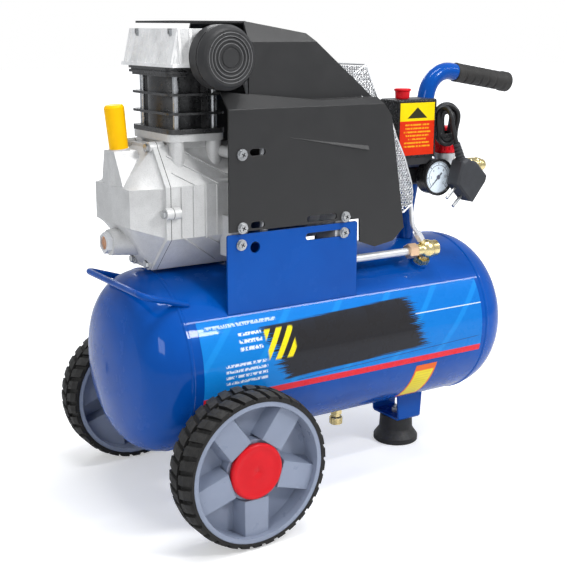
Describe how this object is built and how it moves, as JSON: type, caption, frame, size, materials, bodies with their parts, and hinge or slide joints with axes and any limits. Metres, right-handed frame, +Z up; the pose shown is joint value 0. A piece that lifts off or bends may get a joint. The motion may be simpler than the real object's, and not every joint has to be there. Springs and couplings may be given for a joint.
{
  "type": "wheeled piston air compressor",
  "caption": "Wheeled piston air compressor with a horizontal tank, direct-drive motor, finned cylinder, pressure switch, regulator and pull handle.",
  "frame": {"origin": "on the floor, under the middle of the overall length and width without the mains lead", "axes": "+X along the tank towards the pull handle, +Y away from the control side, +Z up"},
  "size_m": [0.6642, 0.384, 0.612],
  "materials": {
    "tank_blue": "gloss",
    "dark_plastic": "satin",
    "black_plastic": "satin",
    "red_plastic": "gloss",
    "amber_plastic": "gloss",
    "hub_grey": "satin",
    "tyre_rubber": "matte",
    "black_rubber": "matte",
    "cast_alloy": "cast",
    "black_iron": "satin",
    "steel": "satin",
    "plated_steel": "bright",
    "alloy_pipe": "drawn",
    "brass_fitting": "turned",
    "lens_glass": "clear",
    "lens_amber": "clear",
    "dial_white": "matte",
    "gasket_grey": "matte"
  },
  "bodies": {
    "frame": {"air_filter": "dark_plastic", "air_tank": "tank_blue", "axle_bolts": "steel", "axle_bracket": "tank_blue", "check_valve": "brass_fitting", "cord_hank": "black_rubber", "cover_bolts": "steel", "cover_gasket": "gasket_grey", "crankcase": "cast_alloy", "crankcase_cover": "cast_alloy", "cylinder_barrel": "black_iron", "cylinder_head": "cast_alloy", "discharge_pipe": "alloy_pipe", "drain_valve": "brass_fitting", "end_shield": "cast_alloy", "fan_guard": "plated_steel", "fan_shroud": "dark_plastic", "foot_bolt": "steel", "foot_bracket": "tank_blue", "gauge_case": "black_plastic", "gauge_dial": "dial_white", "gauge_lens": "lens_glass", "handle_grip": "black_rubber", "handle_tube": "tank_blue", "head_studs": "plated_steel", "lifting_loop": "tank_blue", "manifold": "alloy_pipe", "motor_stator": "steel", "outlet_coupler": "brass_fitting", "plug_pins": "plated_steel", "power_cord": "black_rubber", "power_plug": "black_rubber", "regulator_body": "alloy_pipe", "rubber_foot": "black_rubber", "saddle_plates": "tank_blue", "safety_valve": "brass_fitting", "side_bolts": "plated_steel", "sight_bezel": "plated_steel", "sight_lens": "lens_amber", "switch_base": "cast_alloy", "switch_cover": "black_plastic", "unloader_tube": "black_plastic", "valve_plate": "black_iron"},
    "wheel_left": {"wheel_hub_front": "hub_grey", "tyre_front": "tyre_rubber", "hub_cap_front": "red_plastic"},
    "wheel_right": {"wheel_hub_rear": "hub_grey", "tyre_rear": "tyre_rubber", "hub_cap_rear": "red_plastic"},
    "rotor": {"rotor_shaft": "steel", "cooling_fan": "black_plastic"},
    "piston_unit": {"piston": "cast_alloy"},
    "rod_unit": {"connecting_rod": "cast_alloy"},
    "switch_button": {"switch_knob": "red_plastic"},
    "regulator_dial": {"regulator_knob": "red_plastic"},
    "needle_unit": {"gauge_needle": "black_plastic"},
    "drain_tap": {"drain_screw": "brass_fitting"},
    "relief_ring": {"safety_ring": "steel"},
    "sleeve_unit": {"coupler_sleeve": "brass_fitting"},
    "oil_cap": {"oil_plug": "amber_plastic"}
  },
  "joints": [
    {"name": "wheel_left_spin", "type": "hinge", "parent": "frame", "child": "wheel_left", "pos_m": [-0.22508, -0.166, 0.0963], "axis": [0, 1, 0], "continuous": true},
    {"name": "wheel_right_spin", "type": "hinge", "parent": "frame", "child": "wheel_right", "pos_m": [-0.22508, 0.166, 0.0963], "axis": [0, 1, 0], "continuous": true},
    {"name": "motor_spin", "type": "hinge", "parent": "frame", "child": "rotor", "pos_m": [-0.10508, 0, 0.391], "axis": [1, 0, 0], "continuous": true},
    {"name": "piston_stroke", "type": "slide", "parent": "frame", "child": "piston_unit", "axis": [0, 0, 1], "range_m": [0, 0.04]},
    {"name": "rod_swing", "type": "hinge", "parent": "piston_unit", "child": "rod_unit", "pos_m": [-0.22508, 0, 0.494], "axis": [1, 0, 0], "range_deg": [-9.4, 9.4]},
    {"name": "switch_pull", "type": "slide", "parent": "frame", "child": "switch_button", "axis": [0, 0, 1], "range_m": [0, 0.008]},
    {"name": "regulator_turn", "type": "hinge", "parent": "frame", "child": "regulator_dial", "pos_m": [0.18292, -0.032, 0.452], "axis": [0, 0, 1], "range_deg": [-180, 180]},
    {"name": "gauge_swing", "type": "hinge", "parent": "frame", "child": "needle_unit", "pos_m": [0.13992, -0.067, 0.405], "axis": [0, 1, 0], "range_deg": [0, 270], "stiffness_Nm_per_rad": 0.00002},
    {"name": "drain_turn", "type": "hinge", "parent": "frame", "child": "drain_tap", "pos_m": [0.02292, 0, 0.055], "axis": [0, 0, 1], "range_deg": [0, 360]},
    {"name": "relief_pull", "type": "slide", "parent": "frame", "child": "relief_ring", "axis": [0, 1, 0], "range_m": [0, 0.004], "stiffness_N_per_m": 800},
    {"name": "coupler_release", "type": "slide", "parent": "frame", "child": "sleeve_unit", "axis": [-1, 0, 0], "range_m": [0, 0.005], "stiffness_N_per_m": 600},
    {"name": "oil_cap_lift", "type": "slide", "parent": "frame", "child": "oil_cap", "axis": [-0.0958, 0, 0.9954], "range_m": [0, 0.014]}
  ]
}
